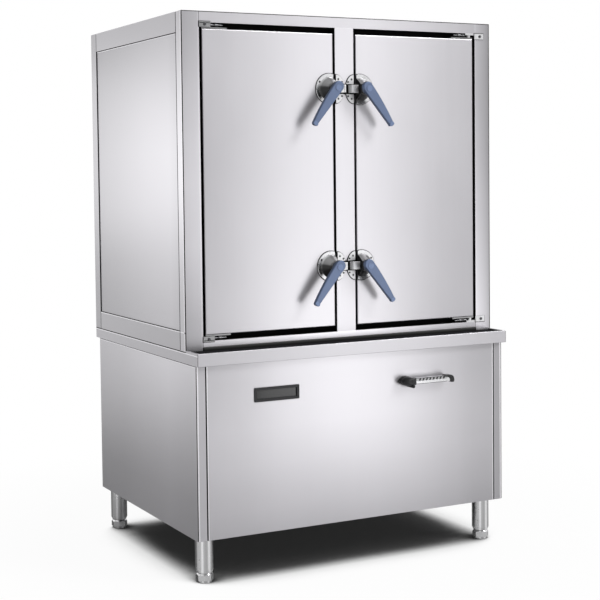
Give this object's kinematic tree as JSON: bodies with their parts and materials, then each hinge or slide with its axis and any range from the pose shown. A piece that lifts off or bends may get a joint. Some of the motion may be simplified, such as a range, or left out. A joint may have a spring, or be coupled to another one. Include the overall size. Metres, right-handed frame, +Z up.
{
  "type": "rice steamer cabinet",
  "caption": "Upright stainless steaming cabinet with insulated doors on lever latches, tray racks inside, and a gas boiler base on levelling feet.",
  "frame": {"origin": "on the floor, under the middle of the whole outline", "axes": "+Z up, the doors face -Y, +X is to the right seen from the front"},
  "size_m": [1.2, 0.972, 1.855],
  "materials": {
    "brushed_stainless": "fine vertical brushing",
    "frame_steel": "satin mill finish",
    "liner_stainless": "smooth satin",
    "chromed_legs": "polished",
    "latch_chrome": "polished",
    "screw_steel": "polished",
    "lever_enamel": "smooth blue-grey enamel",
    "black_plastic": "satin black",
    "dark_glass": "dark tinted",
    "door_seal": "matte silicone",
    "mineral_wool": "fibrous",
    "valve_brass": "machined",
    "burner_iron": "as cast",
    "pipe_paint": "satin yellow paint",
    "flue_steel": "satin, heat tinted"
  },
  "bodies": {
    "cabinet": {"base_back_panel": "brushed_stainless", "base_frame": "frame_steel", "base_front_panel": "brushed_stainless", "base_side_panels": "brushed_stainless", "boiler_tank": "liner_stainless", "burner": "burner_iron", "burner_tray": "frame_steel", "cabinet_back_panel": "brushed_stainless", "cabinet_frame": "brushed_stainless", "cabinet_insulation": "mineral_wool", "cabinet_side_panels": "brushed_stainless", "centre_mullion": "brushed_stainless", "chamber_liners": "liner_stainless", "float_box": "liner_stainless", "flue_outlet": "flue_steel", "frame_screws": "screw_steel", "gas_pipes": "pipe_paint", "gas_valve_body": "valve_brass", "hinge_brackets": "frame_steel", "latch_keepers": "latch_chrome", "leg_tubes": "chromed_legs", "roof_panel": "brushed_stainless", "sight_window_bezel": "black_plastic", "sight_window_glass": "dark_glass", "steam_diffusers": "liner_stainless", "tabletop": "brushed_stainless", "tray_racks": "liner_stainless", "water_fittings": "valve_brass"},
    "left_door": {"left_door_outer_skin": "brushed_stainless", "left_door_inner_pan": "liner_stainless", "left_door_insulation": "mineral_wool", "left_door_gasket": "door_seal", "left_door_hinge_straps": "frame_steel", "left_latch_base_plates": "latch_chrome", "left_latch_hubs": "latch_chrome", "left_door_screws": "screw_steel"},
    "left_upper_latch": {"left_upper_latch_lever": "lever_enamel", "left_upper_latch_spindle": "latch_chrome"},
    "left_lower_latch": {"left_lower_latch_lever": "lever_enamel", "left_lower_latch_spindle": "latch_chrome"},
    "right_door": {"right_door_outer_skin": "brushed_stainless", "right_door_inner_pan": "liner_stainless", "right_door_insulation": "mineral_wool", "right_door_gasket": "door_seal", "right_door_hinge_straps": "frame_steel", "right_latch_base_plates": "latch_chrome", "right_latch_hubs": "latch_chrome", "right_door_screws": "screw_steel"},
    "right_upper_latch": {"right_upper_latch_lever": "lever_enamel", "right_upper_latch_spindle": "latch_chrome"},
    "right_lower_latch": {"right_lower_latch_lever": "lever_enamel", "right_lower_latch_spindle": "latch_chrome"},
    "gas_lever": {"gas_lever_hub": "black_plastic", "gas_lever_arm": "latch_chrome", "gas_lever_end_cap": "black_plastic"},
    "float": {"float_arm": "liner_stainless"},
    "foot_front_left": {"adjuster_foot_front_left": "chromed_legs"},
    "foot_front_right": {"adjuster_foot_front_right": "chromed_legs"},
    "foot_rear_left": {"adjuster_foot_rear_left": "chromed_legs"},
    "foot_rear_right": {"adjuster_foot_rear_right": "chromed_legs"}
  },
  "joints": [
    {"name": "left_door_hinge", "type": "hinge", "parent": "cabinet", "child": "left_door", "pos_m": [-0.516, -0.36, 0.807], "axis": [0, 0, -1], "range_deg": [0, 120]},
    {"name": "left_upper_latch_turn", "type": "hinge", "parent": "left_door", "child": "left_upper_latch", "pos_m": [-0.06, -0.369, 1.613], "axis": [0, 1, 0], "range_deg": [0, 90]},
    {"name": "left_lower_latch_turn", "type": "hinge", "parent": "left_door", "child": "left_lower_latch", "pos_m": [-0.06, -0.369, 1.012], "axis": [0, 1, 0], "range_deg": [0, 90]},
    {"name": "right_door_hinge", "type": "hinge", "parent": "cabinet", "child": "right_door", "pos_m": [0.516, -0.36, 0.807], "axis": [0, 0, 1], "range_deg": [0, 120]},
    {"name": "right_upper_latch_turn", "type": "hinge", "parent": "right_door", "child": "right_upper_latch", "pos_m": [0.06, -0.369, 1.613], "axis": [0, -1, 0], "range_deg": [0, 90]},
    {"name": "right_lower_latch_turn", "type": "hinge", "parent": "right_door", "child": "right_lower_latch", "pos_m": [0.06, -0.369, 1.012], "axis": [0, -1, 0], "range_deg": [0, 90]},
    {"name": "gas_lever_turn", "type": "hinge", "parent": "cabinet", "child": "gas_lever", "pos_m": [0.19, -0.44, 0.611], "axis": [0, 1, 0], "range_deg": [0, 90]},
    {"name": "float_swing", "type": "hinge", "parent": "cabinet", "child": "float", "pos_m": [0.465, 0.4225, 0.635], "axis": [-1, 0, 0], "range_deg": [0, 30]},
    {"name": "foot_front_left_screw", "type": "slide", "parent": "cabinet", "child": "foot_front_left", "axis": [0, 0, 1], "range_m": [-0.025, 0]},
    {"name": "foot_front_right_screw", "type": "slide", "parent": "cabinet", "child": "foot_front_right", "axis": [0, 0, 1], "range_m": [-0.025, 0]},
    {"name": "foot_rear_left_screw", "type": "slide", "parent": "cabinet", "child": "foot_rear_left", "axis": [0, 0, 1], "range_m": [-0.025, 0]},
    {"name": "foot_rear_right_screw", "type": "slide", "parent": "cabinet", "child": "foot_rear_right", "axis": [0, 0, 1], "range_m": [-0.025, 0]}
  ]
}
